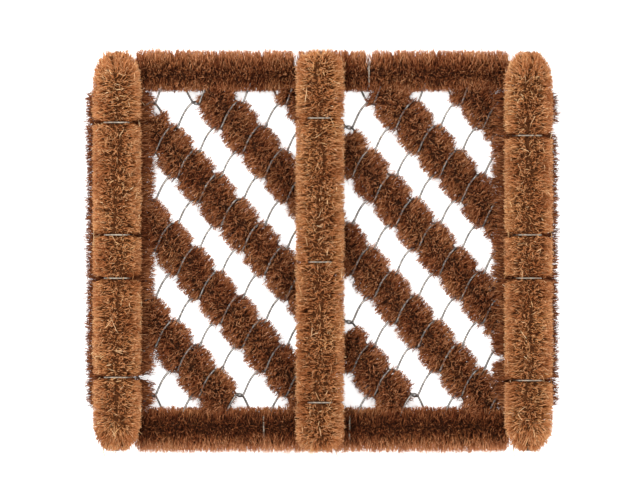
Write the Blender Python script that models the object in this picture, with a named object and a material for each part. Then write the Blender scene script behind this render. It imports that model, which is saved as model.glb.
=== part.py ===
"""Door mat: twisted-wire coir brushes on a sheet of chain-link netting.

Metres, +Z up, +X along the mat's long side. The origin is at the middle of the mat, on the floor.
The lower layer holds two side brushes, two border brushes and seven diagonal brushes in the netting.
Three scraper bars lie on top of it, held down by tie wires.
"""
import math

import bmesh
import bpy
from mathutils import Vector

COLLECTION = "coir_wire_door_mat"
MM = 0.001

# Overall sizes
MAT_LENGTH = 400 * MM
MAT_WIDTH = 339 * MM
LAYER_HEIGHT = 30 * MM
BAR_HEIGHT = 34 * MM

# Clearances
GAP = 0.35 * MM
BRUSH_GAP = 0.5 * MM

# Frame of the lower layer: how far each brush reaches outward and inward from its core
SIDE_OUTER = 27.5 * MM
SIDE_INNER = 28 * MM
BORDER_OUTER = 19.5 * MM
REAR_INNER = 13 * MM
FRONT_INNER = 16 * MM
BORDER_END_IN = 13.5 * MM
SLOT_LIP = 1.6 * MM
SLOT_LIP_EDGE = 0.6 * MM

# Twisted cores
CORE = 3.4 * MM
CORE_BEND = 8 * MM
CORE_PROUD = 1 * MM
CORE_LIFT = 0.56 * MM
HOOK_STRAIGHT = 3 * MM
HOOK_TIP = 6 * MM

# Netting: each knot is two hooked bends of neighbouring spirals
KNOT_ROWS = 13
KNOT_COLUMNS = 8
FIRST_ROW_IN = 24 * MM
LAST_ROW_IN = 27.4 * MM
LEFT_KNOT_IN = 28.1 * MM
RIGHT_KNOT_IN = 19.3 * MM
WIRE = 1.7 * MM
BEND_HALF = 2.4 * MM
BEND_CLEAR = 6 * MM
HOOK_OVERLAP = 1.15 * MM
HOOK_CLEAR = 3 * MM
NET_HALF_THICKNESS = 6 * MM

# Diagonal brushes, in every second strip of the netting
DIAGONALS = 7
FIRST_STRIP = -3
DIAGONAL_HALF_WIDTH = 18 * MM
FOOT_CLEAR = 2.99 * MM
GROOVE_HALF_WIDTH = 8.8 * MM
GROOVE_DEPTH_BELOW = 8 * MM
GROOVE_FLAT = 3.4 * MM
GROOVE_EDGE = 6.2 * MM
NECK_WALL = 2.9 * MM
NECK_HALF = 12.5 * MM
NECK_SLOPE = 3 * MM
DIAGONAL_CORE_PROUD = 2 * MM

# Scraper bars: the left and right one over the side cores, the centre one near the middle
BAR_SHIFT = (-1.5 * MM, -1.7 * MM, 2.8 * MM)
BAR_WIDTH = 39 * MM
BAR_END_IN = 1 * MM
BAR_ENDS = ((0, 0.42, 0.6), (3 * MM, 0.7, 0.8), (8 * MM, 0.9, 0.94), (16 * MM, 1, 1))

# Tie wires, placed by rows of knots along the bars and by columns along the borders
TIE_WIRE = 1.6 * MM
TIE_CORNER = 1.5 * MM
TIE_KNEE = 5 * MM
NECK_KNEE = 2 * MM
TIE_TURN_HALF = 5 * MM
WAIST_HALF = 9 * MM
WAIST_TOP = 0.65
WAIST_LENGTH = 1.6 * MM
WAIST_SLOPE = 4 * MM
TIE_ROWS = (
    (0.82, 5.42, 7.19, 11.25),
    (0.64, 6.53, 12.28),
    (1.355, 5.42, 7.19, 11.375),
)
REAR_TIE_COLUMNS = (3.333, 4.957)
FRONT_TIE_COLUMNS = (2.551, 4.513)

SIDE_CORE_X = MAT_LENGTH / 2 - SIDE_OUTER
BORDER_CORE_Y = MAT_WIDTH / 2 - BORDER_OUTER
BORDER_HALF_LENGTH = SIDE_CORE_X - BORDER_END_IN
FIRST_ROW_Y = BORDER_CORE_Y - FIRST_ROW_IN
LAST_ROW_Y = -BORDER_CORE_Y + LAST_ROW_IN
KNOT_X = -SIDE_CORE_X + LEFT_KNOT_IN
KNOT_PITCH_X = (SIDE_CORE_X - RIGHT_KNOT_IN - KNOT_X) / KNOT_COLUMNS
COLUMNS = range(-2, KNOT_COLUMNS + 4)
BAR_LENGTH = MAT_WIDTH - 2 * BAR_END_IN
BAR_X = (-SIDE_CORE_X + BAR_SHIFT[0], BAR_SHIFT[1], SIDE_CORE_X + BAR_SHIFT[2])
NET_Z = LAYER_HEIGHT / 2
ROW_PITCH = (FIRST_ROW_Y - LAST_ROW_Y) / (KNOT_ROWS - 1)
BACK_WIRE = KNOT_PITCH_X / 2 * ROW_PITCH / math.hypot(KNOT_PITCH_X / 2, ROW_PITCH)
FOOT_HALF = BACK_WIRE - WIRE / 2 - FOOT_CLEAR
BAR_Z = LAYER_HEIGHT + GAP + BAR_HEIGHT / 2
TIE_R = TIE_WIRE / 2
SLOT_HALF = NET_HALF_THICKNESS + WIRE / 2 + 2 * GAP
HOOK_REACH = (CORE + WIRE) / 2 * math.sqrt(2) + GAP


# ---------------------------------------------------------------- scene helpers

def clear_scene():
    for ob in list(bpy.data.objects):
        bpy.data.objects.remove(ob)


def collection(name):
    made = bpy.data.collections.new(name)
    bpy.context.scene.collection.children.link(made)
    return made


def material(name, colour, roughness, metallic=0.0):
    made = bpy.data.materials.new(name)
    made.use_nodes = True
    shader = made.node_tree.nodes["Principled BSDF"]
    shader.inputs["Base Color"].default_value = (*colour, 1)
    shader.inputs["Roughness"].default_value = roughness
    shader.inputs["Metallic"].default_value = metallic
    return made


def mesh_object(name, bm, mat, where):
    """A mesh object from bm, faces out, smooth where the angles are small."""
    bmesh.ops.recalc_face_normals(bm, faces=bm.faces)
    mesh = bpy.data.meshes.new(name)
    bm.to_mesh(mesh)
    bm.free()
    mesh.materials.append(mat)
    mesh.shade_smooth()
    mesh.set_sharp_from_angle(angle=math.radians(40))
    ob = bpy.data.objects.new(name, mesh)
    where.objects.link(ob)
    return ob


def wire(name, points, diameter, mat, where, closed=False, resolution=1):
    """A round wire through the points, with filled ends."""
    curve = bpy.data.curves.new(name, "CURVE")
    curve.dimensions = "3D"
    curve.bevel_depth = diameter / 2
    curve.bevel_resolution = resolution
    curve.use_fill_caps = not closed
    spline = curve.splines.new("POLY")
    spline.points.add(len(points) - 1)
    for point, place in zip(spline.points, points):
        point.co = (*place, 1)
    spline.use_cyclic_u = closed
    spline.use_smooth = True
    curve.materials.append(mat)
    ob = bpy.data.objects.new(name, curve)
    where.objects.link(ob)
    return ob


def loft(rings, capped):
    """A closed skin through rings of equal length, with end caps or joined last to first."""
    bm = bmesh.new()
    loops = [[bm.verts.new(p) for p in ring] for ring in rings]
    pairs = list(zip(loops, loops[1:]))
    if capped:
        bm.faces.new(loops[0])
        bm.faces.new(loops[-1])
    else:
        pairs.append((loops[-1], loops[0]))
    for one, two in pairs:
        for i in range(len(one)):
            k = (i + 1) % len(one)
            bm.faces.new((one[i], one[k], two[k], two[i]))
    return bm


# ---------------------------------------------------------------- cross sections
# A section is a ring of (across, up) points round the brush's core.

def mirrored(half):
    return half + [(-a, z) for a, z in reversed(half)]


def bar_section():
    a, z = BAR_WIDTH / 2, BAR_HEIGHT / 2
    return mirrored([(0.6 * a, -z), (0.93 * a, -0.7 * z), (a, -0.15 * z),
                     (0.94 * a, 0.4 * z), (0.66 * a, 0.82 * z), (0.25 * a, z)])


def bar_waist():
    a, z = WAIST_HALF, BAR_HEIGHT / 2
    return mirrored([(0.6 * a, -z), (0.9 * a, -0.7 * z), (a, -0.2 * z),
                     (a, 0.25 * z), (0.8 * a, 0.5 * z), (0.3 * a, WAIST_TOP * z)])


def diagonal_section():
    """Full above the netting's back wires, narrow between them."""
    a, z = DIAGONAL_HALF_WIDTH, LAYER_HEIGHT / 2
    ledge = NET_HALF_THICKNESS - WIRE / 2 - GAP
    foot = FOOT_HALF
    return mirrored([(0.7 * foot, -z), (foot, -0.8 * z), (foot, -ledge),
                     (0.96 * a, -ledge + GAP), (0.9 * a, 0.5 * z), (0.4 * a, z)])


def diagonal_waist():
    """Pinched under a front wire of the netting."""
    top = NET_HALF_THICKNESS - WIRE / 2 - GAP
    a, bottom = GROOVE_HALF_WIDTH, GROOVE_DEPTH_BELOW
    return mirrored([(0.5 * a, -bottom), (0.85 * a, -0.81 * bottom), (0.98 * a, -top),
                     (a, 0.1 * top), (0.85 * a, 0.75 * top), (0.35 * a, top)])


def neck_section():
    r = CORE / 2 + NECK_WALL
    angles = [math.radians(-75 + 30 * i) for i in range(6)]
    return mirrored([(r * math.cos(t), r * math.sin(t)) for t in angles])


def bore_section(count):
    """A ring round the core; its first point matches the first of a mirrored section."""
    r = (CORE / 2 + GAP) / math.cos(math.pi / count)
    step = 2 * math.pi / count
    start = -math.pi / 2 + step / 2
    return [(r * math.cos(start + step * i), r * math.sin(start + step * i)) for i in range(count)]


def frame_section(outer, inner):
    """A brush round a frame core, open to the netting on its inner side (negative across)."""
    z = LAYER_HEIGHT / 2
    return [(-inner, SLOT_HALF), (-inner, 0.62 * z), (-0.7 * inner, 0.95 * z), (-0.3 * inner, z),
            (0.5 * outer, z), (0.87 * outer, 0.72 * z), (outer, 0.25 * z),
            (outer, -0.25 * z), (0.87 * outer, -0.72 * z), (0.5 * outer, -z),
            (-0.3 * inner, -z), (-0.7 * inner, -0.95 * z), (-inner, -0.62 * z),
            (-inner, -SLOT_HALF), (HOOK_REACH + WIRE, -SLOT_HALF), (HOOK_REACH + WIRE, SLOT_HALF)]


def frame_waist():
    """The same brush pinched by a tie wire: thin lips, the slot unchanged."""
    a, z = WAIST_HALF, SLOT_HALF + SLOT_LIP
    return [(-a, SLOT_HALF), (-a, SLOT_HALF + SLOT_LIP_EDGE), (-0.8 * a, z), (-0.3 * a, z),
            (0.5 * a, z), (0.85 * a, z), (a, 0.5 * z),
            (a, -0.5 * z), (0.85 * a, -z), (0.5 * a, -z),
            (-0.3 * a, -z), (-0.8 * a, -z), (-a, -SLOT_HALF - SLOT_LIP_EDGE),
            (-a, -SLOT_HALF), (HOOK_REACH + WIRE, -SLOT_HALF), (HOOK_REACH + WIRE, SLOT_HALF)]


def scaled(section, across, up):
    return [(a * across, z * up) for a, z in section]


# ---------------------------------------------------------------- lattice of the netting

def row_y(row):
    return FIRST_ROW_Y - row * ROW_PITCH


def knot_x(row, n):
    """Even rows of knots stand half a pitch right of odd rows."""
    return KNOT_X + KNOT_PITCH_X * n - (KNOT_PITCH_X / 2 if row % 2 else 0)


def bend_y(row, side):
    """The middle line of a bend: beyond the frame core at the netting's edge, else just past the row."""
    wrap = (CORE + WIRE) / 2 + GAP
    if row < 0:
        return BORDER_CORE_Y + wrap
    if row >= KNOT_ROWS:
        return -BORDER_CORE_Y - wrap
    return row_y(row) + side * HOOK_OVERLAP


def spiral_points(band):
    """The route of one flattened spiral, from its hook on the left core to that on the right.

    The wire runs up to the right in front, turns over, and runs down to the right behind.
    """
    top, bottom = bend_y(band - 1, 1), bend_y(band, -1)
    reach = SIDE_CORE_X - BEND_CLEAR
    bends = [(knot_x(band - 1, n), top, 1) for n in COLUMNS]
    bends += [(knot_x(band, n), bottom, -1) for n in COLUMNS]
    bends = sorted(b for b in bends if abs(b[0]) < reach)
    t = NET_HALF_THICKNESS
    points = []
    for x, y, up in bends:
        points += [(x - BEND_HALF, y, up * t), (x + BEND_HALF, y, -up * t)]
    half = KNOT_PITCH_X / 2 - 2 * BEND_HALF
    slope = (top - bottom) / half
    x, y, z = points[0]
    left = hook(-1, y - bends[0][2] * slope * (SIDE_CORE_X + x), z, top, bottom)
    x, y, z = points[-1]
    right = hook(1, y - bends[-1][2] * slope * (SIDE_CORE_X - x), z, top, bottom)
    route = left[::-1] + points + right
    return [(x, y, NET_Z + z) for x, y, z in route]


def hook(side, y, z, top, bottom):
    """Half a turn round a side core, for a strand that arrives on the side that z says."""
    margin = HOOK_OVERLAP + HOOK_CLEAR
    y = min(max(y, bottom + margin), top - margin)
    straight = BORDER_CORE_Y - CORE_BEND - 2 * CORE
    y = min(max(y, -straight), straight)
    up = 1 if z > 0 else -1
    x = side * SIDE_CORE_X
    return [(x, y, up * HOOK_REACH), (x + side * HOOK_REACH, y, 0), (x, y, -up * HOOK_REACH)]


def front_strand_x(y):
    """Where a front wire under the centre bar crosses the line y, and the nearest to that bar."""
    row = math.ceil((FIRST_ROW_Y - y) / ROW_PITCH)
    part = (y - row_y(row)) / ROW_PITCH
    found = [knot_x(row, n) + part * KNOT_PITCH_X / 2 for n in COLUMNS]
    return min(found, key=lambda x: abs(x - BAR_X[1]))


# ---------------------------------------------------------------- diagonal brushes

STEP = Vector((KNOT_PITCH_X / 2, -ROW_PITCH, 0))
ALONG = STEP.normalized()
ACROSS = Vector((-ALONG.y, ALONG.x, 0))


def field():
    """The clear rectangle inside the frame brushes: left, right, front, rear."""
    side = SIDE_CORE_X - SIDE_INNER - BRUSH_GAP
    rear = BORDER_CORE_Y - REAR_INNER - BRUSH_GAP
    front = -BORDER_CORE_Y + FRONT_INNER + BRUSH_GAP
    return -side, side, front, rear


def diagonal_line(index):
    """A point on a brush's middle line: midway between two back wires, in every second strip."""
    x = knot_x(0, 1) + KNOT_PITCH_X / 2 + 2 * KNOT_PITCH_X * (index + FIRST_STRIP)
    return Vector((x, row_y(0), NET_Z))


def span(index, grow):
    """Where the middle line enters and leaves the field, as distances along it."""
    left, right, front, rear = field()
    start = diagonal_line(index)
    enter = max((left - grow - start.x) / ALONG.x, (rear + grow - start.y) / ALONG.y)
    leave = min((right + grow - start.x) / ALONG.x, (front - grow - start.y) / ALONG.y)
    return enter, leave


def tie_places(index):
    """Distances along a brush where a tie of the centre bar goes round its core, with the tie's row."""
    start = diagonal_line(index)
    found = []
    for row in TIE_ROWS[1]:
        along = (row_y(row) - start.y) / ALONG.y
        enter, leave = span(index, 0)
        x = start.x + along * ALONG.x
        if enter < along < leave and abs(x - BAR_X[1]) < BAR_WIDTH / 2:
            found.append((along, row))
    return found


def diagonal_rings(index):
    """Rings of (distance along, section) over a length well past both ends."""
    over = 2 * DIAGONAL_HALF_WIDTH
    enter, leave = span(index, 0)
    enter, leave = enter - over, leave + over
    full, waist, neck = diagonal_section(), diagonal_waist(), neck_section()
    flat, edge = GROOVE_FLAT, GROOVE_EDGE
    rings = [(enter, full), (leave, full)]
    grooves = []
    for n in range(math.floor(enter / STEP.length), math.ceil(leave / STEP.length)):
        # a front wire crosses midway between two rows of knots
        middle = (n + 0.5) * STEP.length
        if enter + edge < middle < leave - edge:
            grooves.append(middle)
            rings += [(middle - edge, full), (middle - flat, waist),
                      (middle + flat, waist), (middle + edge, full)]
    for along, _ in tie_places(index):
        # the neck stops short of the grooves next to it
        before = [m + edge for m in grooves if m + edge < along - NECK_HALF / 2]
        after = [m - edge for m in grooves if m - edge > along + NECK_HALF / 2]
        start = max([along - NECK_HALF - NECK_SLOPE] + before)
        end = min([along + NECK_HALF + NECK_SLOPE] + after)
        low, high = start + NECK_SLOPE, end - NECK_SLOPE
        rings = [r for r in rings if not start - MM < r[0] < end + MM]
        rings += [(start, full), (low, neck), (high, neck), (end, full)]
    return sorted(rings, key=lambda r: r[0])


def field_cutter(where):
    left, right, front, rear = field()
    bpy.ops.mesh.primitive_cube_add(size=1)
    ob = bpy.context.object
    ob.name = "field_cutter"
    ob.location = ((left + right) / 2, (front + rear) / 2, NET_Z)
    ob.scale = (right - left, rear - front, 4 * LAYER_HEIGHT)
    for other in list(ob.users_collection):
        other.objects.unlink(ob)
    where.objects.link(ob)
    ob.hide_render = True
    ob.display_type = "WIRE"
    return ob


def diagonal_brush(index, mat, where, cutter):
    start = diagonal_line(index)
    # the rings lean a little, so that each groove follows the wire from knot to knot
    lean = knot_lean()
    up = Vector((0, 0, 1))

    def ring(along, section):
        return [start + ALONG * (along + lean * a) + ACROSS * a + up * z for a, z in section]

    rings = diagonal_rings(index)
    outer = [ring(along, section) for along, section in rings]
    bore = bore_section(12)
    inner = [ring(rings[-1][0], bore), ring(rings[0][0], bore)]
    long = mesh_object("uncut_brush", loft(outer + inner, False), mat, where)
    cut = long.modifiers.new("field", "BOOLEAN")
    cut.operation = "INTERSECT"
    cut.solver = "EXACT"
    cut.object = cutter
    view = bpy.context.evaluated_depsgraph_get()
    bm = bmesh.new()
    bm.from_mesh(long.evaluated_get(view).to_mesh())
    bpy.data.objects.remove(long)
    drop_offcuts(bm)
    return mesh_object(f"diagonal_{index + 1}_brush", bm, mat, where)


def drop_offcuts(bm):
    """Keeps the body with the most vertices: the field's edges slice bits off a brush's last bulges."""
    bodies, seen = [], set()
    for first in bm.verts:
        if first in seen:
            continue
        body, todo = set(), [first]
        while todo:
            vert = todo.pop()
            if vert not in body:
                body.add(vert)
                todo += [edge.other_vert(vert) for edge in vert.link_edges]
        seen |= body
        bodies.append(body)
    largest = max(bodies, key=len)
    bmesh.ops.delete(bm, geom=[v for v in bm.verts if v not in largest], context="VERTS")


def knot_lean():
    """How far the line between a front wire's two knots moves along the brush, per metre across."""
    away = Vector((-KNOT_PITCH_X / 2, -ROW_PITCH, 0))
    return away.dot(ALONG) / away.dot(ACROSS)


def diagonal_core(index, mat, where):
    enter, leave = span(index, DIAGONAL_CORE_PROUD)
    start = diagonal_line(index)
    ends = [start + ALONG * enter, start + ALONG * leave]
    return wire(f"diagonal_{index + 1}_core", ends, CORE, mat, where, resolution=2)


# ---------------------------------------------------------------- straight brushes

def rings_with_waists(half_length, ties, full, waist, ends):
    """Rings of (place, section) from end to end, rounded at the ends and pinched at the ties."""
    rings = []
    for inset, across, up in ends:
        rings.append((-half_length + inset, scaled(full, across, up)))
        rings.append((half_length - inset, scaled(full, across, up)))
    for tie in ties:
        for side in (-1, 1):
            rings.append((tie + side * (WAIST_LENGTH + WAIST_SLOPE), full))
            rings.append((tie + side * WAIST_LENGTH, waist))
    return sorted(rings, key=lambda r: r[0])


def scraper_brush(name, x, ties, mat, where):
    rings = rings_with_waists(BAR_LENGTH / 2, ties, bar_section(), bar_waist(), BAR_ENDS)
    outer = [[(x + a, y, BAR_Z + z) for a, z in section] for y, section in rings]
    bore = bore_section(12)
    inner = [[(x + a, y, BAR_Z + z) for a, z in bore] for y in (BAR_LENGTH / 2, -BAR_LENGTH / 2)]
    return mesh_object(name, loft(outer + inner, False), mat, where)


def side_brush(name, side, ties, mat, where):
    """A wide brush round a side core, its slot facing the netting."""
    front, rear = field()[2:]
    full = frame_section(SIDE_OUTER, SIDE_INNER)
    middle, half = (front + rear) / 2, (rear - front) / 2
    places = [y - middle for y in ties]
    rings = rings_with_waists(half, places, full, frame_waist(), [(0, 1, 1)])
    made = [[(side * (SIDE_CORE_X + a), middle + y, NET_Z + z) for a, z in section]
            for y, section in rings]
    return mesh_object(name, loft(made, True), mat, where)


def border_brush(name, side, inner, ties, mat, where):
    """A brush round a border core, its slot facing the netting."""
    full = frame_section(BORDER_OUTER, inner)
    rings = rings_with_waists(BORDER_HALF_LENGTH, ties, full, frame_waist(), [(0, 1, 1)])
    made = [[(x, side * (BORDER_CORE_Y + a), NET_Z + z) for a, z in section]
            for x, section in rings]
    return mesh_object(name, loft(made, True), mat, where)


def side_core(name, side, mat, where):
    """A core whose ends hook over the border cores."""
    x, y = side * SIDE_CORE_X, BORDER_CORE_Y
    over = CORE + GAP + CORE_LIFT
    half = [(x, y - CORE_BEND, NET_Z), (x, y - HOOK_STRAIGHT, NET_Z + over),
            (x, y + HOOK_STRAIGHT, NET_Z + over), (x, y + HOOK_TIP, NET_Z)]
    route = [(x, -y, z) for x, y, z in reversed(half)] + half
    return wire(name, route, CORE, mat, where, resolution=2)


def tie(name, top, bottom, knee, place, mat, where, turned=False):
    """A closed loop of tie wire. top and bottom are (middle, half width, height).

    Above a knee height, where there is one, the legs spread from the bottom's width to the top's.
    """
    (xt, at, zt), (xb, ab, zb) = top, bottom
    corner = TIE_CORNER
    left = [(xt - at + corner, zt), (xt - at, zt - corner)]
    right = [(xt + at, zt - corner), (xt + at - corner, zt)]
    if zt > LAYER_HEIGHT:
        left.append((xt - at, LAYER_HEIGHT + corner))
        right.insert(0, (xt + at, LAYER_HEIGHT + corner))
    if knee:
        left.append((xb - ab, knee))
        right.insert(0, (xb + ab, knee))
    outline = left + [(xb - ab, zb + corner), (xb - ab + corner, zb)]
    outline += [(xb + ab - corner, zb), (xb + ab, zb + corner)] + right
    points = [(place, a, z) if turned else (a, place, z) for a, z in outline]
    return wire(name, points, TIE_WIRE, mat, where, closed=True)


# ---------------------------------------------------------------- the mat

def build():
    clear_scene()
    parts = collection(COLLECTION)
    cutters = collection("cutters")

    bar_coir = material("coir_scraper_bars", (0.38, 0.19, 0.085), 0.95)
    net_coir = material("coir_diagonals", (0.22, 0.10, 0.045), 0.95)
    frame_coir = material("coir_frame", (0.26, 0.12, 0.055), 0.95)
    net_wire = material("galvanised_netting", (0.48, 0.47, 0.44), 0.42, 1.0)
    core_wire = material("twisted_core_wire", (0.40, 0.39, 0.37), 0.45, 1.0)
    tie_wire = material("galvanised_tie", (0.55, 0.53, 0.49), 0.40, 1.0)

    names = ("left", "centre", "right")
    reach = WAIST_HALF + GAP + TIE_R
    bar_top = BAR_Z + WAIST_TOP * BAR_HEIGHT / 2 + GAP + TIE_R
    frame_drop = SLOT_HALF + SLOT_LIP + GAP + TIE_R

    for name, x, rows in zip(names, BAR_X, TIE_ROWS):
        ties = [row_y(row) for row in rows]
        scraper_brush(f"{name}_scraper_brush", x, ties, bar_coir, parts)
        end = BAR_LENGTH / 2 + CORE_PROUD
        ends = [(x, -end, BAR_Z), (x, end, BAR_Z)]
        wire(f"{name}_scraper_core", ends, CORE, core_wire, parts, resolution=2)
        side = (-1, 0, 1)[names.index(name)]
        for n, (y, row) in enumerate(zip(ties, rows)):
            top = (x, reach, bar_top)
            bottom, knee = (side * SIDE_CORE_X, reach, NET_Z - frame_drop), LAYER_HEIGHT - TIE_KNEE
            if not side:
                bottom, knee = centre_tie_foot(row)
            tie(f"{name}_scraper_tie_{n + 1}", top, bottom, knee, y, tie_wire, parts)
        if side:
            side_brush(f"{name}_side_brush", side, ties, frame_coir, parts)
            side_core(f"{name}_side_core", side, core_wire, parts)

    borders = (("rear", 1, REAR_INNER, REAR_TIE_COLUMNS), ("front", -1, FRONT_INNER, FRONT_TIE_COLUMNS))
    for name, side, inner, columns in borders:
        ties = [knot_x(0, n) for n in columns]
        border_brush(f"{name}_border_brush", side, inner, ties, frame_coir, parts)
        end = SIDE_CORE_X + CORE
        ends = [(-end, side * BORDER_CORE_Y, NET_Z), (end, side * BORDER_CORE_Y, NET_Z)]
        wire(f"{name}_border_core", ends, CORE, core_wire, parts, resolution=2)
        for n, x in enumerate(ties):
            top = (side * BORDER_CORE_Y, reach, NET_Z + frame_drop)
            bottom = (side * BORDER_CORE_Y, reach, NET_Z - frame_drop)
            tie(f"{name}_border_tie_{n + 1}", top, bottom, None, x, tie_wire, parts, turned=True)

    cutter = field_cutter(cutters)
    for index in range(DIAGONALS):
        diagonal_brush(index, net_coir, parts, cutter)
        diagonal_core(index, core_wire, parts)

    for band in range(KNOT_ROWS + 1):
        wire(f"mesh_spiral_{band + 1:02d}", spiral_points(band), WIRE, net_wire, parts)


def centre_tie_foot(row):
    """A centre tie's bottom and knee: round a diagonal's core where one lies there, else a front wire."""
    y = row_y(row)
    for index in range(DIAGONALS):
        for _, found in tie_places(index):
            if found == row:
                start = diagonal_line(index)
                x = start.x + (y - start.y) / ALONG.y * ALONG.x
                r = CORE / 2 + NECK_WALL + GAP + TIE_R
                return (x, r / abs(ACROSS.x) + 2 * GAP, NET_Z - r), NET_Z + NECK_KNEE
    drop = NET_HALF_THICKNESS - WIRE / 2 - GAP - TIE_R
    return (front_strand_x(y), TIE_TURN_HALF, NET_Z + drop), None


build()
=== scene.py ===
"""Looks of the coir and wire door mat: bristles, netting, cores and ties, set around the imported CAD."""
import math

import bpy
import numpy as np
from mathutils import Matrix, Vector


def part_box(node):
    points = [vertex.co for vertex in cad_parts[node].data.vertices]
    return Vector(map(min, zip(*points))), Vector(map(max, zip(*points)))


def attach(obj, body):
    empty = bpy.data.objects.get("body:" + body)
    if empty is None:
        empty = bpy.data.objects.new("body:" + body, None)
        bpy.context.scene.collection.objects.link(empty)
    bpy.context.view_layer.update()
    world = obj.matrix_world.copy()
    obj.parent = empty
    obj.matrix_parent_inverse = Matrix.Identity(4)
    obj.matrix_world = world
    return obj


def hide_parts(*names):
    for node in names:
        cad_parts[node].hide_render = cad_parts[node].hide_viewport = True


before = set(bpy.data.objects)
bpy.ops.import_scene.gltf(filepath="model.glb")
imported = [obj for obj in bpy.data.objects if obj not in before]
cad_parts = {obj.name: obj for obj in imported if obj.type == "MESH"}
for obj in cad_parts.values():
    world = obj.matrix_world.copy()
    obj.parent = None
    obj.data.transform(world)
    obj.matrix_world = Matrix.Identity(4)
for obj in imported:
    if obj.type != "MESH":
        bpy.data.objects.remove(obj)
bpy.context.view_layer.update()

MM = 0.001
QUICK = 1.0

# Random draws: a brush's seed is counted up from its kind's, and the last three are for its parts
SEED = 7
BAR_SEED, BORDER_SEED, SIDE_SEED, DIAGONAL_SEED = 0, 10, 20, 30
LOWER_PART_SEED, STRAY_SEED, ROOT_SEED = 9, 60, 500

# The netting, as the CAD lays it out
KNOT_PITCH_X = 37.2 * MM    # between the knots of a row
KNOT_X = -107.2 * MM        # a knot of the first row
KNOT_ROWS = 13
BEND_HALF = 2.4 * MM        # half the width of a spiral's bend
HOOK_OVERLAP = 1.15 * MM    # from a row's line to the bends that hook over it
NET_HALF = 6 * MM           # from the netting's middle to its front and back strands
HOOK_REACH = 3.95 * MM      # from a side core's middle to the wire that goes round it
WIRE = 1.7 * MM
CORE = 3.4 * MM


def box(node):
    low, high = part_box(node)
    return Vector(low), Vector(high)


def middle(node):
    low, high = box(node)
    return (low + high) / 2


def ties_of(prefix):
    return sorted(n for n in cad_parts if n.startswith(prefix + "_tie_"))


NET_Z = middle("rear_border_core").z
BORDER_Y = middle("rear_border_core").y
SIDE_X = middle("right_side_core").x
FIRST_ROW_Y = box("mesh_spiral_02")[1].y - WIRE / 2 - HOOK_OVERLAP
ROW_PITCH = (FIRST_ROW_Y - box("mesh_spiral_13")[0].y - WIRE / 2 - HOOK_OVERLAP) / (KNOT_ROWS - 1)
# From one knot to the next along a diagonal brush
STEP = Vector((KNOT_PITCH_X / 2, -ROW_PITCH, 0))


# ---------------------------------------------------------------- materials

def new_material(name):
    mat = bpy.data.materials.new(name)
    mat.use_nodes = True
    return mat, mat.node_tree, mat.node_tree.nodes["Principled BSDF"]


def ramp(tree, stops):
    node = tree.nodes.new("ShaderNodeValToRGB")
    elements = node.color_ramp.elements
    while len(elements) < len(stops):
        elements.new(0.5)
    for element, (place, colour) in zip(elements, stops):
        element.position = place
        element.color = (*colour, 1)
    return node


def noise(tree, scale, detail=3.0, roughness=0.5):
    coords = tree.nodes.new("ShaderNodeTexCoord")
    node = tree.nodes.new("ShaderNodeTexNoise")
    node.inputs["Scale"].default_value = scale
    node.inputs["Detail"].default_value = detail
    node.inputs["Roughness"].default_value = roughness
    tree.links.new(coords.outputs["Object"], node.inputs["Vector"])
    return node


def mix(tree, kind, factor, one, two):
    """A colour mix; each of its values is a socket, a colour or a number."""
    node = tree.nodes.new("ShaderNodeMix")
    node.data_type = "RGBA"
    node.blend_type = kind
    for socket, value in ((node.inputs[0], factor), (node.inputs[6], one), (node.inputs[7], two)):
        if hasattr(value, "is_output"):
            tree.links.new(value, socket)
        elif isinstance(value, tuple):
            socket.default_value = (*value, 1)
        else:
            socket.default_value = value
    return node.outputs[2]


def varied_roughness(tree, shader, source, smoothest, roughest):
    rough = tree.nodes.new("ShaderNodeMapRange")
    rough.inputs["To Min"].default_value = smoothest
    rough.inputs["To Max"].default_value = roughest
    tree.links.new(source, rough.inputs["Value"])
    tree.links.new(rough.outputs["Result"], shader.inputs["Roughness"])


def coir_material(name, dark, middle_tone, light, root_shade, middle_shade):
    """Fibres: each has its own tone, in drifting patches, with painted shade that is dark at the root and
    gone at the pale tip.
    """
    mat, tree, shader = new_material(name)
    fibre = tree.nodes.new("ShaderNodeAttribute")
    fibre.attribute_name = "fibre"
    split = tree.nodes.new("ShaderNodeSeparateXYZ")
    tree.links.new(fibre.outputs["Vector"], split.inputs[0])
    tone = ramp(tree, [(0.0, dark), (0.45, middle_tone), (1.0, light)])
    tree.links.new(split.outputs["X"], tone.inputs["Fac"])
    # painted shade: each fibre darker towards its root, where the other fibres shade it
    along = ramp(tree, [(0.0, root_shade), (0.5, middle_shade), (1.0, (1.0, 1.0, 1.0))])
    tree.links.new(split.outputs["Y"], along.inputs["Fac"])
    patches = ramp(tree, [(0.34, (0.74, 0.62, 0.54)), (0.5, (0.97, 0.95, 0.93)), (0.66, (1.0, 1.04, 1.0))])
    tree.links.new(noise(tree, 42).outputs["Fac"], patches.inputs["Fac"])
    shaded = mix(tree, "MULTIPLY", 1.0, tone.outputs["Color"], along.outputs["Color"])
    colour = mix(tree, "MULTIPLY", 1.0, shaded, patches.outputs["Color"])
    tree.links.new(colour, shader.inputs["Base Color"])
    varied_roughness(tree, shader, split.outputs["Z"], 0.62, 0.88)
    shader.inputs["Specular IOR Level"].default_value = 0.16
    return mat


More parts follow.
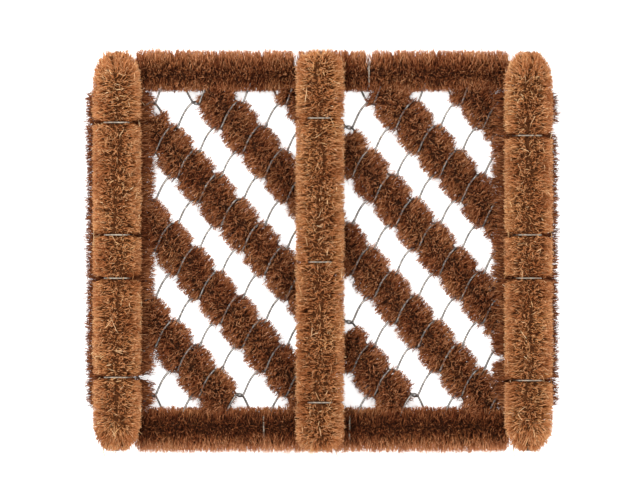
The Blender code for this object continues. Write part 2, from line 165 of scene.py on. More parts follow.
def packed_coir_material(name, colour):
    """The tangle between the fibres' roots, painted dark for the shade deep inside a brush, with fine
    streaks.
    """
    mat, tree, shader = new_material(name)
    fine = noise(tree, 900, 4.0, 0.65)
    streaks = ramp(tree, [(0.35, tuple(c * 0.35 for c in colour)), (0.7, colour)])
    tree.links.new(fine.outputs["Fac"], streaks.inputs["Fac"])
    tree.links.new(streaks.outputs["Color"], shader.inputs["Base Color"])
    bump = tree.nodes.new("ShaderNodeBump")
    bump.inputs["Strength"].default_value = 0.9
    bump.inputs["Distance"].default_value = 0.001
    tree.links.new(fine.outputs["Fac"], bump.inputs["Height"])
    tree.links.new(bump.outputs["Normal"], shader.inputs["Normal"])
    shader.inputs["Roughness"].default_value = 0.95
    shader.inputs["Specular IOR Level"].default_value = 0.15
    return mat


def wire_material(name, bright, dull, roughness):
    """Galvanised wire: zinc grey with duller spangles, a few brown stains and uneven gloss."""
    mat, tree, shader = new_material(name)
    spangle = ramp(tree, [(0.38, dull), (0.62, bright)])
    tree.links.new(noise(tree, 420, 3.0).outputs["Fac"], spangle.inputs["Fac"])
    stain = ramp(tree, [(0.60, (0.0, 0.0, 0.0)), (0.74, (0.7, 0.7, 0.7))])
    tree.links.new(noise(tree, 130, 4.0).outputs["Fac"], stain.inputs["Fac"])
    colour = mix(tree, "MIX", stain.outputs["Color"], spangle.outputs["Color"], (0.23, 0.17, 0.12))
    tree.links.new(colour, shader.inputs["Base Color"])
    varied_roughness(tree, shader, noise(tree, 800, 2.0).outputs["Fac"], roughness - 0.12, roughness + 0.15)
    shader.inputs["Metallic"].default_value = 0.85
    return mat


# Coir: the darkest, middle and lightest fibres, then the painted shade of a fibre's root and middle
BAR_COIR = coir_material("coir_bars", (0.29, 0.086, 0.023), (0.70, 0.292, 0.110), (0.88, 0.53, 0.28),
                         (0.17, 0.12, 0.08), (0.72, 0.64, 0.52))
# The diagonals and the frame are darker than the bars: partly their own colour, partly painted shade, as
# they lie lower, under the bars
NET_COIR = coir_material("coir_diagonals", (0.105, 0.025, 0.007), (0.385, 0.124, 0.043),
                         (0.76, 0.38, 0.195), (0.13, 0.09, 0.06), (0.66, 0.56, 0.44))
FRAME_COIR = coir_material("coir_frame", (0.13, 0.032, 0.009), (0.44, 0.148, 0.052), (0.84, 0.43, 0.22),
                           (0.11, 0.07, 0.05), (0.50, 0.41, 0.31))
STRAY_COIR = coir_material("coir_strays", (0.62, 0.30, 0.12), (0.86, 0.52, 0.26), (1.0, 0.74, 0.46),
                           (0.5, 0.4, 0.3), (0.9, 0.88, 0.84))
# The packed roots are painted dark for the shade deep inside each brush
BAR_ROOTS = packed_coir_material("coir_bar_roots", (0.15, 0.05, 0.015))
NET_ROOTS = packed_coir_material("coir_diagonal_roots", (0.065, 0.022, 0.008))
FRAME_ROOTS = packed_coir_material("coir_frame_roots", (0.07, 0.022, 0.008))
NET_WIRE = wire_material("galvanised_netting", (0.33, 0.30, 0.27), (0.12, 0.115, 0.11), 0.40)
CORE_WIRE = wire_material("galvanised_core", (0.24, 0.22, 0.20), (0.13, 0.12, 0.11), 0.5)
TIE_WIRE = wire_material("galvanised_ties", (0.43, 0.37, 0.29), (0.24, 0.20, 0.16), 0.42)


# ---------------------------------------------------------------- mesh helpers

def mesh_object(name, points, triangles, mat, fibre=None, layout=None):
    """An object from arrays: fibre is a vector for each point, layout a UV place for each corner."""
    mesh = bpy.data.meshes.new(name)
    mesh.vertices.add(len(points))
    mesh.vertices.foreach_set("co", np.ascontiguousarray(points, np.float32).ravel())
    count = len(triangles)
    mesh.loops.add(3 * count)
    mesh.loops.foreach_set("vertex_index", np.ascontiguousarray(triangles, np.int32).ravel())
    mesh.polygons.add(count)
    mesh.polygons.foreach_set("loop_start", np.arange(0, 3 * count, 3, dtype=np.int32))
    mesh.polygons.foreach_set("use_smooth", np.full(count, True))
    if fibre is not None:
        made = mesh.attributes.new("fibre", "FLOAT_VECTOR", "POINT")
        made.data.foreach_set("vector", np.ascontiguousarray(fibre, np.float32).ravel())
    if layout is not None:
        made = mesh.uv_layers.new(name="OFBake")
        made.uv.foreach_set("vector", np.ascontiguousarray(layout, np.float32).ravel())
    mesh.update(calc_edges=True)
    mesh.validate()
    mesh.materials.append(mat)
    ob = bpy.data.objects.new(name, mesh)
    bpy.context.scene.collection.objects.link(ob)
    return ob


def skin_triangles(rows, sides):
    """Triangles over rows of rings, closed at both ends by two points that come after the rings."""
    i = np.arange(sides)
    k = (i + 1) % sides
    base = np.arange(rows - 1)[:, None] * sides
    a, b, c, d = base + i, base + k, base + sides + k, base + sides + i
    walls = [np.stack([a, b, c], -1).reshape(-1, 3), np.stack([a, c, d], -1).reshape(-1, 3)]
    end = (rows - 1) * sides
    first, last = rows * sides, rows * sides + 1
    first_cap = [(first, k[n], i[n]) for n in range(sides)]
    last_cap = [(last, end + i[n], end + k[n]) for n in range(sides)]
    return np.concatenate([*walls, first_cap, last_cap])


# Any direction that no route starts in
NOT_ALONG_A_ROUTE = (0.13, 0.21, 0.97)


def tube(route, radius, sides=8):
    """Points and triangles of a round tube along a route, with a turning frame that doesn't twist."""
    route = np.asarray(route, float)
    ahead = np.gradient(route, axis=0)
    ahead /= np.linalg.norm(ahead, axis=1)[:, None]
    side = np.cross(ahead[0], NOT_ALONG_A_ROUTE)
    side /= np.linalg.norm(side)
    sides_at = []
    for way in ahead:
        side = side - way * side.dot(way)
        side /= np.linalg.norm(side)
        sides_at.append(side)
    side = np.array(sides_at)
    other = np.cross(ahead, side)
    turn = np.linspace(0, 2 * math.pi, sides, endpoint=False)
    ring = side[:, None] * np.cos(turn)[None, :, None] + other[:, None] * np.sin(turn)[None, :, None]
    points = (route[:, None] + radius * ring).reshape(-1, 3)
    return np.vstack([points, route[:1], route[-1:]]), skin_triangles(len(route), sides)


def rounded(points, radius, steps):
    """The route with each corner replaced by a curve that starts and ends up to a radius away."""
    points = [Vector(p) for p in points]
    made = [points[0]]
    for before, corner, after in zip(points, points[1:], points[2:]):
        r1 = min(radius, (before - corner).length * 0.49)
        r2 = min(radius, (after - corner).length * 0.49)
        start = corner + (before - corner).normalized() * r1
        end = corner + (after - corner).normalized() * r2
        for t in np.linspace(0, 1, steps + 1):
            t = float(t)
            made.append(start * (1 - t) ** 2 + corner * 2 * t * (1 - t) + end * t ** 2)
    made.append(points[-1])
    return [tuple(p) for p in made]


def finish_piece(ob, slot, *nodes):
    """Each piece rides with the mat's one body, and stands for the CAD nodes named."""
    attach(ob, "root")
    if nodes:
        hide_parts(*nodes)


# ---------------------------------------------------------------- brushes

OUTLINE_POINTS = 24     # along each edge of a rounded outline
END_FULLNESS = 0.78     # below 1, a brush's rounded ends are fuller than a ball
MOST_FIBRES = 19000     # in one piece
CLUMP_WAVES = 9
TIP_SHARE = 0.72        # a fibre's width at its tip, to its width in the middle
ROOT_SIDES = 20
ROOT_INSET = 3 * MM     # from a brush's end to the end of its packed roots
NO_LIMIT = 1.0


class Brush:
    """A twisted-wire brush: a core line and the outline its fibre tips reach.

    Places are (along, across, up) from the core's middle. outline is a ring of (across, up) points,
    low and high are where the brush ends, and cap is how long its rounded ends are.
    """

    def __init__(self, origin, along, low, high, outline, cap):
        self.origin = np.array(origin, float)
        self.along = np.array(along, float)
        self.across = np.array((-self.along[1], self.along[0], 0.0))
        self.up = np.array((0.0, 0.0, 1.0))
        self.low, self.high = low, high
        self.cap = cap
        self.pinches = []
        self.set_outline(outline)

    def set_outline(self, outline):
        """A table of reach against angle, and one of angle against length round the outline."""
        ring = np.array(outline, float)
        for _ in range(2):
            # corner cutting makes the outline round
            after = np.roll(ring, -1, 0)
            ring = np.stack([ring * 0.75 + after * 0.25, ring * 0.25 + after * 0.75], 1).reshape(-1, 2)
        dense = []
        for p, q in zip(ring, np.roll(ring, -1, 0)):
            t = np.linspace(0, 1, OUTLINE_POINTS, endpoint=False)[:, None]
            dense.append(p * (1 - t) + q * t)
        dense = np.vstack(dense)
        angle = np.arctan2(dense[:, 1], dense[:, 0])
        order = np.argsort(angle)
        self.angles = angle[order]
        self.reaches = np.hypot(dense[:, 0], dense[:, 1])[order]
        steps = np.linalg.norm(np.roll(dense, -1, 0) - dense, axis=1)
        self.perimeter = steps.sum()
        self.walk = np.concatenate([[0], np.cumsum(steps)])[:-1]
        self.walk_angle = np.unwrap(angle)

    def pinch(self, place, waist, slope, flat, lean=0.0):
        """Pull the tips in at a place along the brush.

        waist gives the reach there by angle. It holds for flat to both sides, and from there the
        reach grows by slope. lean is how far the place moves along the brush per metre across it.
        """
        self.pinches.append((place, lean, waist, slope, flat))

    def reach(self, along, angle):
        """How far from the core the tips go, before the ends are rounded."""
        wrapped = (angle + math.pi) % (2 * math.pi) - math.pi
        r = np.interp(wrapped, self.angles, self.reaches, period=2 * math.pi)
        for place, lean, waist, slope, flat in self.pinches:
            side = r * np.cos(wrapped)
            away = np.abs(along - place - lean * side) / math.hypot(1, lean)
            r = np.minimum(r, waist(wrapped) + slope * np.maximum(0, away - flat))
        return r

    def surface(self, walk, angle):
        """For a walk over the brush from end to end: place along, reach, and place of the root."""
        low, high = self.low + self.cap, self.high - self.cap
        past = np.maximum(low - walk, 0) / self.cap + np.maximum(walk - high, 0) / self.cap
        # just short of a quarter turn, so that the reach never comes to nothing
        turn = np.minimum(past, math.pi / 2 - 0.02)
        inside = np.clip(walk, low, high)
        cap = np.where(walk < low, -self.cap, self.cap)
        along = inside + cap * np.sin(turn) * (past > 0)
        r = self.reach(along, angle) * np.cos(turn) ** END_FULLNESS
        return along, r, inside

    def world(self, along, across, up):
        return (self.origin + along[..., None] * self.along + across[..., None] * self.across
                + up[..., None] * self.up)

    def length(self):
        return self.high - self.low


def falloff(offset, width):
    """1 at no offset, fading to nothing about two widths away."""
    return np.exp(-(offset / width) ** 2)


def clumps(rng, walk, arc, size):
    """How far a tip moves along and round to join its clump, and how high its clump stands."""
    moves, height = np.zeros((2, len(walk))), np.zeros(len(walk))
    share = math.sqrt(CLUMP_WAVES)
    for _ in range(CLUMP_WAVES):
        turn, wave = rng.uniform(0, 2 * math.pi), size * rng.uniform(0.75, 1.7)
        k = 2 * math.pi / wave * np.array((math.cos(turn), math.sin(turn)))
        phase = k[0] * walk + k[1] * arc + rng.uniform(0, 2 * math.pi)
        height += np.sin(phase) / share
        moves += np.outer(k / np.hypot(*k), np.cos(phase)) / share
    return moves, height


def parted(walk, angle, tip_across, tip_up, sway, phase):
    """Tips pushed aside along a line that wanders over the middle of the top and the underside."""
    width, push, drop = 3.2 * MM, 1.8 * MM, 0.06
    line = sway * (np.sin(walk / (21 * MM) + phase) + 0.6 * np.sin(walk / (8.3 * MM) + 2 * phase))
    off = tip_across - line
    near = falloff(off, width) * (np.abs(np.sin(angle)) > 0.5)
    # the parting opens and closes along the brush
    opened = near * (0.65 + 0.35 * np.sin(walk / (11 * MM)))
    return tip_across + np.sign(off) * push * opened, tip_up * (1 - drop * opened)


def bristles(name, brush, density, mat, slot, nodes, seed, thick=0.5 * MM, start=0.5,
             spread=1.8 * MM, clump=(5.5 * MM, 1.3 * MM), parting=0.0, keep=None, shade=(0, 0, 0),
             ragged=0.05, wedges=()):
    """Fibres over a brush's outline, in pieces of at most MOST_FIBRES along its length.

    density is in fibres per square millimetre of the outline. A fibre starts at the share start of
    the reach, its tip strays by spread, and clump is a clump's size and how far its tips lean.
    parting is how far the line wanders where they part, and keep says which places may hold fibre.
    shade is painted light or shade on the fibres that point up, to across > 0 and to across < 0, and
    ragged is how much their length varies. wedges are places with straight sides in painted shade, and how
    dark it is.
    """
    rng = np.random.default_rng(SEED + seed)
    # walked over a rounded end, a brush is longer than it is straight
    extra = brush.cap * (math.pi / 2 - 1)
    length = brush.length() + extra + extra
    count = int(length / MM * brush.perimeter / MM * density * QUICK)
    walk = np.sort(rng.uniform(brush.low - extra, brush.high + extra, count))
    arc = rng.uniform(0, brush.perimeter, count)
    angle = np.interp(arc, brush.walk, brush.walk_angle)
    along, r, root_along = brush.surface(walk, angle)
    moves, height = clumps(rng, walk, arc, clump[0])
    # tips stray less where the brush is thin, and high clumps stand taller
    lean = (moves * clump[1] + rng.normal(0, spread, (2, count))) * np.minimum(1, r / (9 * MM))
    long = 1 - np.abs(rng.normal(0, ragged, count)) + 0.02 + 0.8 * ragged * height
    wedge_shade = np.zeros(count)
    for place, dark in wedges:
        lean *= 1 - 0.85 * falloff(walk - place, 4.5 * MM)
        # painted shade in a wedge, darkest on the brush's sides
        wedge_shade += dark * falloff(walk - place, 2.6 * MM) * np.abs(np.cos(angle))
    tip_angle = angle + lean[1] / np.maximum(r, 5 * MM)
    tip_across, tip_up = r * long * np.cos(tip_angle), r * long * np.sin(tip_angle)
    if parting:
        tip_across, tip_up = parted(walk, angle, tip_across, tip_up, parting, seed)
    tips = brush.world(along + lean[0], tip_across, tip_up)
    c, up = np.cos(angle), np.sin(angle)
    # roots lie under their tips but nearer the brush's middle, in its rounded ends
    root_reach = np.minimum(r * start, r - 2 * MM).clip(0.4 * MM)
    roots = brush.world(root_along * 0.45 + along * 0.55, root_reach * c, root_reach * up)
    bend = rng.normal(0, 1, (count, 3)) * (np.linalg.norm(tips - roots, axis=1) * 0.11)[:, None]
    middles = roots * 0.45 + tips * 0.55 + bend
    # painted light and shade by the way a fibre points, less the painted shade of the wedges
    painted_light_and_shade = shade[0] * up.clip(0) ** 2 + shade[1] * c.clip(0) ** 2 + shade[2] * (-c).clip(0) ** 2 - wedge_shade
    if keep is not None:
        kept = keep(tips) & keep(roots)
        tips, roots, middles = tips[kept], roots[kept], middles[kept]
        height, painted_light_and_shade = height[kept], painted_light_and_shade[kept]
    # no fibre goes into the floor
    tips[:, 2] = np.maximum(tips[:, 2], 0.4 * MM)
    middles[:, 2] = np.maximum(middles[:, 2], 0.5 * MM)
    count = len(tips)
    # painted light on the fibres of high clumps, plus the painted light and shade of how a fibre faces
    tone = (rng.beta(1.6, 1.8, count) + 0.13 * height + painted_light_and_shade).clip(0, 1)
    gloss = rng.uniform(0, 1, count)
    pieces = max(1, math.ceil(count / MOST_FIBRES))
    for n in range(pieces):
        part = slice(n * count // pieces, (n + 1) * count // pieces)
        label = name if pieces == 1 else f"{name}_{n + 1}"
        ob = fibre_mesh(label, roots[part], middles[part], tips[part], thick, mat,
                        tone[part], gloss[part], rng)
        finish_piece(ob, slot, *(nodes if n == 0 else ()))


def fibre_mesh(name, roots, middles, tips, thick, mat, tone, gloss, rng):
    """Each fibre is a three-sided rod, pointed at its hidden root, bent, and cut square at the tip.

    The "fibre" attribute holds its tone, how far along it a point is, and its gloss. In the UV layout
    each fibre has a square of its own, so that a baked material keeps its tone.
    """
    count = len(tips)
    ahead = tips - middles
    ahead /= np.linalg.norm(ahead, axis=1)[:, None]
    side = np.cross(ahead, rng.normal(0, 1, (count, 3)))
    side /= np.linalg.norm(side, axis=1)[:, None]
    third = np.cross(ahead, side)
    wide = thick * rng.uniform(0.6, 1.35, count)[:, None] / 2
    points = np.empty((count, 7, 3))
    points[:, 0] = roots
    for n in range(3):
        turn = 2 * math.pi * n / 3
        out = side * math.cos(turn) + third * math.sin(turn)
        points[:, n + 1] = middles + out * wide
        points[:, n + 4] = tips + out * wide * TIP_SHARE
    faces, cells = [(4, 5, 6)], [((0.3, 0.86), (0.6, 0.86), (0.45, 0.98))]
    for n in range(3):
        k, left, right = (n + 1) % 3, (n + 0.1) / 3, (n + 0.9) / 3
        faces += [(0, k + 1, n + 1), (n + 1, k + 1, k + 4), (n + 1, k + 4, n + 4)]
        cells += [(((left + right) / 2, 0.02), (right, 0.4), (left, 0.4)),
                  ((left, 0.4), (right, 0.4), (right, 0.84)),
                  ((left, 0.4), (right, 0.84), (left, 0.84))]
    triangles = (np.arange(count)[:, None, None] * 7 + np.array(faces)[None]).reshape(-1, 3)
    fibre = np.empty((count, 7, 3))
    fibre[..., 0] = tone[:, None]
    fibre[:, 0, 1], fibre[:, 1:4, 1], fibre[:, 4:, 1] = 0.0, 0.5, 1.0
    fibre[..., 2] = gloss[:, None]
    across = math.ceil(math.sqrt(count))
    cell = np.stack([np.arange(count) % across, np.arange(count) // across], 1)
    layout = ((cell[:, None, None] + np.array(cells)[None]) / across).reshape(-1, 2)
    return mesh_object(name, points.reshape(-1, 3), triangles, mat, fibre.reshape(-1, 3), layout)


def root_body(name, brush, share, mat, slot, limit=None, clip=None, every=2.5 * MM):
    """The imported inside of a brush, closed at both ends, rough like cut fibres.

    share is its reach to that of the tips, limit the most it may stand above or below the core,
    clip a box that it stays in, and every the distance between its rings of points.
    """
    rng = np.random.default_rng(SEED + ROOT_SEED)
    low, high = brush.low + ROOT_INSET, brush.high - ROOT_INSET
    rows = max(8, int((brush.length() - 2 * ROOT_INSET) / every))
    along = np.linspace(low, high, rows)[:, None]
    angle = np.linspace(-math.pi, math.pi, ROOT_SIDES, endpoint=False)[None]
    along, angle = np.broadcast_arrays(along, angle)
    _, r, _ = brush.surface(along, angle)
    r = r * share * (1 + rng.normal(0, 0.04, r.shape))
    if limit is not None:
        r = np.minimum(r, limit / np.maximum(np.abs(np.sin(angle)), 1e-3))
    rings = brush.world(along, r * np.cos(angle), r * np.sin(angle)).reshape(-1, 3)
    points = np.vstack([rings, brush.world(np.array([low, high]), np.zeros(2), np.zeros(2))])
    if clip is not None:
        points = np.clip(points, *clip)
    finish_piece(mesh_object(name, points, skin_triangles(rows, ROOT_SIDES), mat), slot)


def mirrored(half):
    return half + [(-x, z) for x, z in reversed(half)]


def box_waist(side, top, bottom):
    """Reach under a wire, by angle: a box of these distances from the core."""
    def waist(angle):
        c, s = np.abs(np.cos(angle)) + 1e-6, np.sin(angle)
        up = np.where(s > 0, top / np.maximum(s, 1e-6), bottom / np.maximum(-s, 1e-6))
        return np.minimum(side / c, up)
    return waist


def slit_waist(half):
    """Reach in a slit through one half of a brush: half is 1 for across > 0, -1 for across < 0."""
    def waist(angle):
        return np.where(np.cos(angle) * half > 0.1, 3 * MM, NO_LIMIT)
    return waist


# ---------------------------------------------------------------- scraper bars

def scraper_bar(name, seed):
    """A bar's fibres part along its middle, and its tie wires pull them in."""
    node = f"{name}_scraper_brush"
    low, high = box(node)
    wide, tall = (high.x - low.x) / 2, (high.z - low.z) / 2
    outline = mirrored([(0.5 * wide, -tall), (1.02 * wide, -0.80 * tall), (1.06 * wide, 0.0),
                        (1.0 * wide, 0.62 * tall), (0.55 * wide, 1.04 * tall)])
    if name == "centre":
        cap, rear_trim, tie_side, tie_shade = 13 * MM, 0.0, 16 * MM, 0.35
    else:
        cap, rear_trim, tie_side, tie_shade = 26 * MM, 0.4 * MM, 8.5 * MM, 1.1
    brush = Brush(middle(node), (0, 1, 0), low.y, high.y - rear_trim, outline, cap)
    places = [middle(tie).y for tie in ties_of(f"{name}_scraper")]
    for place in places:
        brush.pinch(place, box_waist(tie_side, 11.6 * MM, 15 * MM), slope=3.3, flat=0.5 * MM)
    # the fibres at each tie get painted shade, darkest on the bar's sides
    bristles(f"{name}_scraper_bristles", brush, 0.5, BAR_COIR, "bar_coir", [node], seed,
             parting=3 * MM, wedges=[(place, tie_shade) for place in places])
    bristles(f"{name}_scraper_strays", brush, 0.011, STRAY_COIR, "bar_coir", [], seed + STRAY_SEED,
             thick=0.62 * MM, start=0.86, spread=5.5 * MM, clump=(8 * MM, 0.0))
    root_body(f"{name}_scraper_roots", brush, 0.62, BAR_ROOTS, "bar_coir")


for number, bar in enumerate(("left", "centre", "right")):
    scraper_bar(bar, BAR_SEED + number)


# ---------------------------------------------------------------- frame brushes

def reach_of(low, high, core):
    """How far a frame brush in CAD reaches from its core, away from and towards the netting."""
    low, high = sorted((abs(low), abs(high)))
    return high - core, core - low


def frame_brush(name, along, core, low, high, outer, inner, ties, seed, density, painted_facing,
                corner=0.5, slits=(), dents=()):
    """A brush along an edge of the mat, whose core may be laid either way round.

    outer and inner are how far it reaches from its core, away from and towards the netting. The three
    facing values lighten or darken, as painted light and shade, the fibres that point up, outward and
    inward.
    corner is how high its inner side goes straight up. slits are (place, 1 on the netting's side or -1 on
    the outer side), and dents are the places where the netting pulls it in, which get painted shade.
    """
    tall = NET_Z
    outline = [(-inner, -0.35 * tall), (-inner, corner * tall), (-0.75 * inner, 0.95 * tall),
               (-0.2 * inner, 1.04 * tall), (0.3 * outer, 1.04 * tall), (0.8 * outer, 0.85 * tall),
               (1.04 * outer, 0.3 * tall), (1.04 * outer, -0.35 * tall), (0.8 * outer, -0.9 * tall),
               (0.3 * outer, -tall), (-0.2 * inner, -tall), (-0.75 * inner, -0.95 * tall)]
    way = Vector(along)
    outward = 1 if Vector((-way.y, way.x, 0)).dot(core) > 0 else -1
    painted_top, *painted_sides = painted_facing
    if outward < 0:
        outline = [(-x, z) for x, z in reversed(outline)]
        painted_sides.reverse()
    brush = Brush(core, along, low, high, outline, 5 * MM)
    for tie in ties:
        place = way.dot(middle(tie) - core)
        brush.pinch(place, box_waist(18 * MM, 11 * MM, 11 * MM), slope=11.0, flat=0.2 * MM)
    for place, half in slits:
        brush.pinch(place, slit_waist(-outward * half), slope=7.5, flat=0.7 * MM)
    for place in dents:
        brush.pinch(place, box_waist(15.5 * MM, 12.5 * MM, 13 * MM), slope=4.0, flat=0.3 * MM)
    # the fibres where the netting dents the brush get painted shade
    bristles(name + "_bristles", brush, density, FRAME_COIR, "frame_coir", [name + "_brush"], seed,
             start=0.34, spread=1.5 * MM, clump=(5 * MM, 0.7 * MM), shade=(painted_top, *painted_sides),
             ragged=0.08, wedges=[(place, 0.4) for place in dents])
    root_body(name + "_roots", brush, 0.7, FRAME_ROOTS, "frame_coir", limit=7.2 * MM)


# How much painted light a border's fibres get that point up, outward and inward; below 0 it is painted
# shade
BORDER_PAINTED_LIGHT_AND_SHADE = {"rear": (-0.16, 0.16, 0.0), "front": (-0.42, 0.32, -0.08)}
# The rear border is parted to its core on the outer side, beside the centre bar and at its last tie
BORDER_SLITS = {"rear": [(box("centre_scraper_brush")[0].x - 1 * MM, -1),
                         (max(middle(tie).x for tie in ties_of("rear_border")), -1)], "front": ()}
BORDER_DENTS = {"rear": [KNOT_X + KNOT_PITCH_X * (n + 0.5) for n in range(-1, 6)], "front": ()}
for number, (name, side) in enumerate((("rear", 1), ("front", -1))):
    low, high = box(f"{name}_border_brush")
    outer, inner = reach_of(low.y, high.y, BORDER_Y)
    frame_brush(f"{name}_border", (1, 0, 0), Vector((0, side * BORDER_Y, NET_Z)), low.x, high.x,
                outer * 1.05, inner + 1.5 * MM, ties_of(f"{name}_border"), BORDER_SEED + number, 0.64,
                BORDER_PAINTED_LIGHT_AND_SHADE[name], slits=BORDER_SLITS[name], dents=BORDER_DENTS[name])

# Painted shade on a side brush's fibres that point up, outward and inward
SIDE_PAINTED_SHADE = (-0.20, -0.42, -0.18)
# How much further than in CAD a side brush reaches towards the netting, in mm
SIDE_EXTRA = {"left": 2.2, "right": 0.8}
SIDE_SLITS = {"left": [(middle("left_scraper_tie_4").y, 1)], "right": [(-91 * MM, 1), (104.5 * MM, -1)]}
for number, (name, side) in enumerate((("left", -1), ("right", 1))):
    low, high = box(f"{name}_side_brush")
    outer, inner = reach_of(low.x, high.x, SIDE_X)
    frame_brush(f"{name}_side", (0, 1, 0), Vector((side * SIDE_X, 0, NET_Z)), low.y, high.y,
                outer, inner + SIDE_EXTRA[name] * MM, ties_of(f"{name}_scraper"), SIDE_SEED + number,
                0.62, SIDE_PAINTED_SHADE, corner=0.72, slits=SIDE_SLITS[name])


# ---------------------------------------------------------------- diagonal brushes

# The netting's field, inside the frame brushes
LEFT, RIGHT = box("left_side_brush")[1].x, box("right_side_brush")[0].x
FRONT, REAR = box("front_border_brush")[1].y, box("rear_border_brush")[0].y
WAY = STEP.normalized()
SIDEWAYS = Vector((-WAY.y, WAY.x, 0))
FRONT_STRAND = Vector((KNOT_PITCH_X / 2 - 2 * BEND_HALF, ROW_PITCH + 2 * HOOK_OVERLAP, 0))
# How far a front strand moves along a diagonal brush per metre across it
STRAND_LEAN = FRONT_STRAND.dot(WAY) / FRONT_STRAND.dot(SIDEWAYS)

# How far a diagonal runs past the field, where a frame brush hides its ends
OVER = 16 * MM
# Upper and lower ends that differ: how far inside the field the fibres stop, or outside it if negative
SHORT_ENDS = {0: (None, 3 * MM), 2: (-5 * MM, 3 * MM), 3: (1 * MM, None),
              4: (-8 * MM, None), 5: (-3 * MM, None), 6: (-8 * MM, None)}
# Brushes whose fibres stop under the centre bar, and how far past its edge they start again
BREAKS = {2: -2 * MM, 4: -4 * MM}


def may_hold_fibre(p):
    """Inside the field, or this far under a side brush or a border brush."""
    under_side, under_border = 3.5 * MM, 9 * MM
    return ((p[:, 0] > LEFT - under_side) & (p[:, 0] < RIGHT + under_side)
            & (p[:, 1] > FRONT - under_border) & (p[:, 1] < REAR + under_border))


def diagonal_part(name, start, low, high, seed, nodes):
    """The length of a diagonal brush from low to high along its core, pulled in by each front strand."""
    wide, tall, foot, ledge = 18 * MM, NET_Z, 10.5 * MM, 4.5 * MM
    outline = mirrored([(0.6 * foot, -tall), (1.05 * foot, -0.8 * tall), (foot, -1.5 * ledge),
                        (0.99 * wide, -0.9 * ledge), (1.13 * wide, 0.1 * tall),
                        (1.0 * wide, 0.72 * tall), (0.45 * wide, 1.04 * tall)])
    brush = Brush(start, WAY, low, high, outline, 6 * MM)
    step = STEP.length
    for n in range(math.floor(low / step) - 1, math.ceil(high / step) + 1):
        brush.pinch((n + 0.5) * step, box_waist(11 * MM, 5.8 * MM, 11 * MM), slope=2.1, flat=0.6 * MM,
                    lean=STRAND_LEAN)
    bristles(name + "_bristles", brush, 0.55, NET_COIR, "diagonal_coir", nodes, seed, start=0.42,
             spread=2.0 * MM, keep=may_hold_fibre, ragged=0.07)
    clip = ((LEFT - 4 * MM, FRONT - 5 * MM, 0.5 * MM), (RIGHT + 4 * MM, REAR + 5 * MM, 2 * NET_Z))
    root_body(name + "_roots", brush, 0.52, NET_ROOTS, "diagonal_coir", clip=clip, every=1.6 * MM)


def diagonal(index, seed):
    """A diagonal brush across the field, in one length or broken at the centre bar."""
    x = KNOT_X + KNOT_PITCH_X / 2 + 2 * KNOT_PITCH_X * (index - 3)
    start = Vector((x, FIRST_ROW_Y, NET_Z))
    enter = max((LEFT - start.x) / WAY.x, (REAR - start.y) / WAY.y)
    leave = min((RIGHT - start.x) / WAY.x, (FRONT - start.y) / WAY.y)
    first, last = SHORT_ENDS.get(index, (None, None))
    low = enter - OVER if first is None else enter + first
    high = leave + OVER if last is None else leave - last
    name = f"diagonal_{index + 1}"
    nodes = [name + "_brush"]
    if index not in BREAKS:
        diagonal_part(name, start, low, high, seed, nodes)
        return
    bar_low, bar_high = box("centre_scraper_brush")
    under_bar = ((bar_low.x + bar_high.x) / 2 - start.x) / WAY.x
    past_bar = (bar_high.x - start.x) / WAY.x + BREAKS[index]
    diagonal_part(name, start, low, under_bar, seed, nodes)
    diagonal_part(name + "_lower", start, past_bar, high, seed + LOWER_PART_SEED, [])


for index in range(7):
    diagonal(index, DIAGONAL_SEED + index)


# ---------------------------------------------------------------- netting

KNOT_RANGE = range(-3, 11)      # reaches past both sides of the mat
SHOWN_WIRE_RADIUS = 0.95 * MM
BEND_RADIUS, BEND_STEPS = 9 * MM, 7
STRAND_BOW = 1.7                # in mm, how far a front strand bows out sideways


def row_y(row):
    return FIRST_ROW_Y - row * ROW_PITCH


def knot_x(row, n):
    """Each second row is moved by half a pitch."""
    return KNOT_X + KNOT_PITCH_X * n - (KNOT_PITCH_X / 2 if row % 2 else 0)


def bend_y(row, side):
    """Where a spiral's bends lie: hooked over a row's line, or round a border core."""
    wrap = (CORE + WIRE) / 2 + 0.35 * MM
    if row < 0:
        return BORDER_Y + wrap
    if row >= KNOT_ROWS:
        return -BORDER_Y - wrap
    return row_y(row) + side * HOOK_OVERLAP


def hook(side, y, z, top, bottom):
    """The end of a spiral, round a side core, inside its own band and clear of the border brushes."""
    margin = HOOK_OVERLAP + 3 * MM
    limit = BORDER_Y - 14.8 * MM
    y = min(max(y, bottom + margin), top - margin)
    y = min(max(y, -limit), limit)
    up = 1 if z > 0 else -1
    x = side * SIDE_X
    return [(x, y, up * HOOK_REACH), (x + side * HOOK_REACH, y, 0), (x, y, -up * HOOK_REACH)]


def bowed(low, high):
    """Points between the ends of a front strand, steep at its lower end and flatter at its upper end."""
    low, high = Vector(low), Vector(high)
    side = Vector((low.y - high.y, high.x - low.x, 0)).normalized()
    made = []
    for n in range(9):
        t = 0.12 + 0.095 * n
        made.append(tuple(low.lerp(high, t) + side * STRAND_BOW * MM * math.sin(math.pi * t ** 1.35)))
    return made


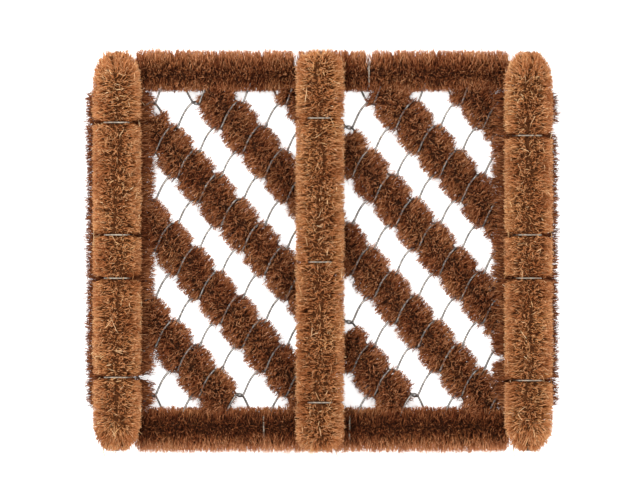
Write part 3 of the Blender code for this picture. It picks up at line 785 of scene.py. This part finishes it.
def spiral_route(band):
    """The route of the spiral between two rows of knots, from the left side core to the right one."""
    top, bottom = bend_y(band - 1, 1), bend_y(band, -1)
    bends = [(knot_x(band - 1, n), top, 1) for n in KNOT_RANGE]
    bends += [(knot_x(band, n), bottom, -1) for n in KNOT_RANGE]
    bends = sorted(b for b in bends if abs(b[0]) < SIDE_X - 6 * MM)
    points = []
    for (x, y, up), (next_x, next_y, _) in zip(bends, bends[1:] + [(0, 0, 0)]):
        points += [(x - BEND_HALF, y, up * NET_HALF), (x + BEND_HALF, y, -up * NET_HALF)]
        if up < 0 and next_x > x:
            points += bowed(points[-1], (next_x - BEND_HALF, next_y, NET_HALF))
    slope = (top - bottom) / (KNOT_PITCH_X / 2 - 2 * BEND_HALF)
    x, y, z = points[0]
    left = hook(-1, y - bends[0][2] * slope * (SIDE_X + x), z, top, bottom)
    x, y, z = points[-1]
    right = hook(1, y - bends[-1][2] * slope * (SIDE_X - x), z, top, bottom)
    return [(x, y, NET_Z + z) for x, y, z in left[::-1] + points + right]


for band in range(KNOT_ROWS + 1):
    route = rounded(spiral_route(band), BEND_RADIUS, BEND_STEPS)
    points, triangles = tube(route, SHOWN_WIRE_RADIUS)
    ob = mesh_object(f"netting_spiral_{band + 1:02d}", points, triangles, NET_WIRE)
    finish_piece(ob, "netting_wire", f"mesh_spiral_{band + 1:02d}")


# ---------------------------------------------------------------- cores and ties

def keep_node(node, mat):
    """A CAD node that stays, with a better material."""
    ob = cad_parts[node]
    for place in ob.material_slots:
        place.material = mat
    if not ob.material_slots:
        ob.data.materials.append(mat)


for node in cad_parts:
    if node.endswith("_core"):
        keep_node(node, CORE_WIRE)
    elif "_tie_" in node:
        keep_node(node, TIE_WIRE)


# ---------------------------------------------------------------- floor, light, camera

FLOOR_HALF = 6.0
# Name, place, size and power
LIGHTS = (("key", (-0.6, 0.8, 1.9), 1.0, 34), ("fill", (0.9, -0.9, 1.6), 1.4, 16))
CAMERA_AWAY = 10.0
VIEW_WIDTH = 544.6 * MM     # at the height of the netting
VIEW_MIDDLE = (-1.7 * MM, 0.9 * MM)


def studio():
    """A white floor that glows a little, a white sky and two soft lights."""
    floor_mesh = bpy.data.meshes.new("floor")
    r = FLOOR_HALF
    floor_mesh.from_pydata([(-r, -r, 0), (r, -r, 0), (r, r, 0), (-r, r, 0)], [], [(0, 1, 2, 3)])
    mat, _, shader = new_material("floor_white")
    shader.inputs["Base Color"].default_value = (0.92, 0.92, 0.92, 1)
    shader.inputs["Roughness"].default_value = 0.8
    shader.inputs["Specular IOR Level"].default_value = 0.1
    shader.inputs["Emission Color"].default_value = (1, 1, 1, 1)
    shader.inputs["Emission Strength"].default_value = 0.75
    floor_mesh.materials.append(mat)
    floor = bpy.data.objects.new("floor", floor_mesh)
    bpy.context.scene.collection.objects.link(floor)

    world = bpy.data.worlds.new("studio")
    world.use_nodes = True
    sky = world.node_tree.nodes["Background"]
    sky.inputs["Color"].default_value = (1.0, 1.0, 1.0, 1)
    sky.inputs["Strength"].default_value = 0.75
    bpy.context.scene.world = world

    for name, place, size, power in LIGHTS:
        light = bpy.data.lights.new(name, "AREA")
        light.energy = power
        light.size = size
        ob = bpy.data.objects.new(name, light)
        ob.location = place
        ob.rotation_euler = (Vector((0, 0, 0)) - Vector(place)).to_track_quat("-Z", "Y").to_euler()
        bpy.context.scene.collection.objects.link(ob)


def camera():
    """Straight above the mat, far enough away to show next to no perspective."""
    data = bpy.data.cameras.new("camera")
    data.lens = data.sensor_width * CAMERA_AWAY / VIEW_WIDTH
    data.clip_end = 50
    ob = bpy.data.objects.new("camera", data)
    ob.location = (*VIEW_MIDDLE, CAMERA_AWAY + NET_Z)
    bpy.context.scene.collection.objects.link(ob)
    bpy.context.scene.camera = ob


studio()
camera()
bpy.context.scene.view_settings.view_transform = "Standard"
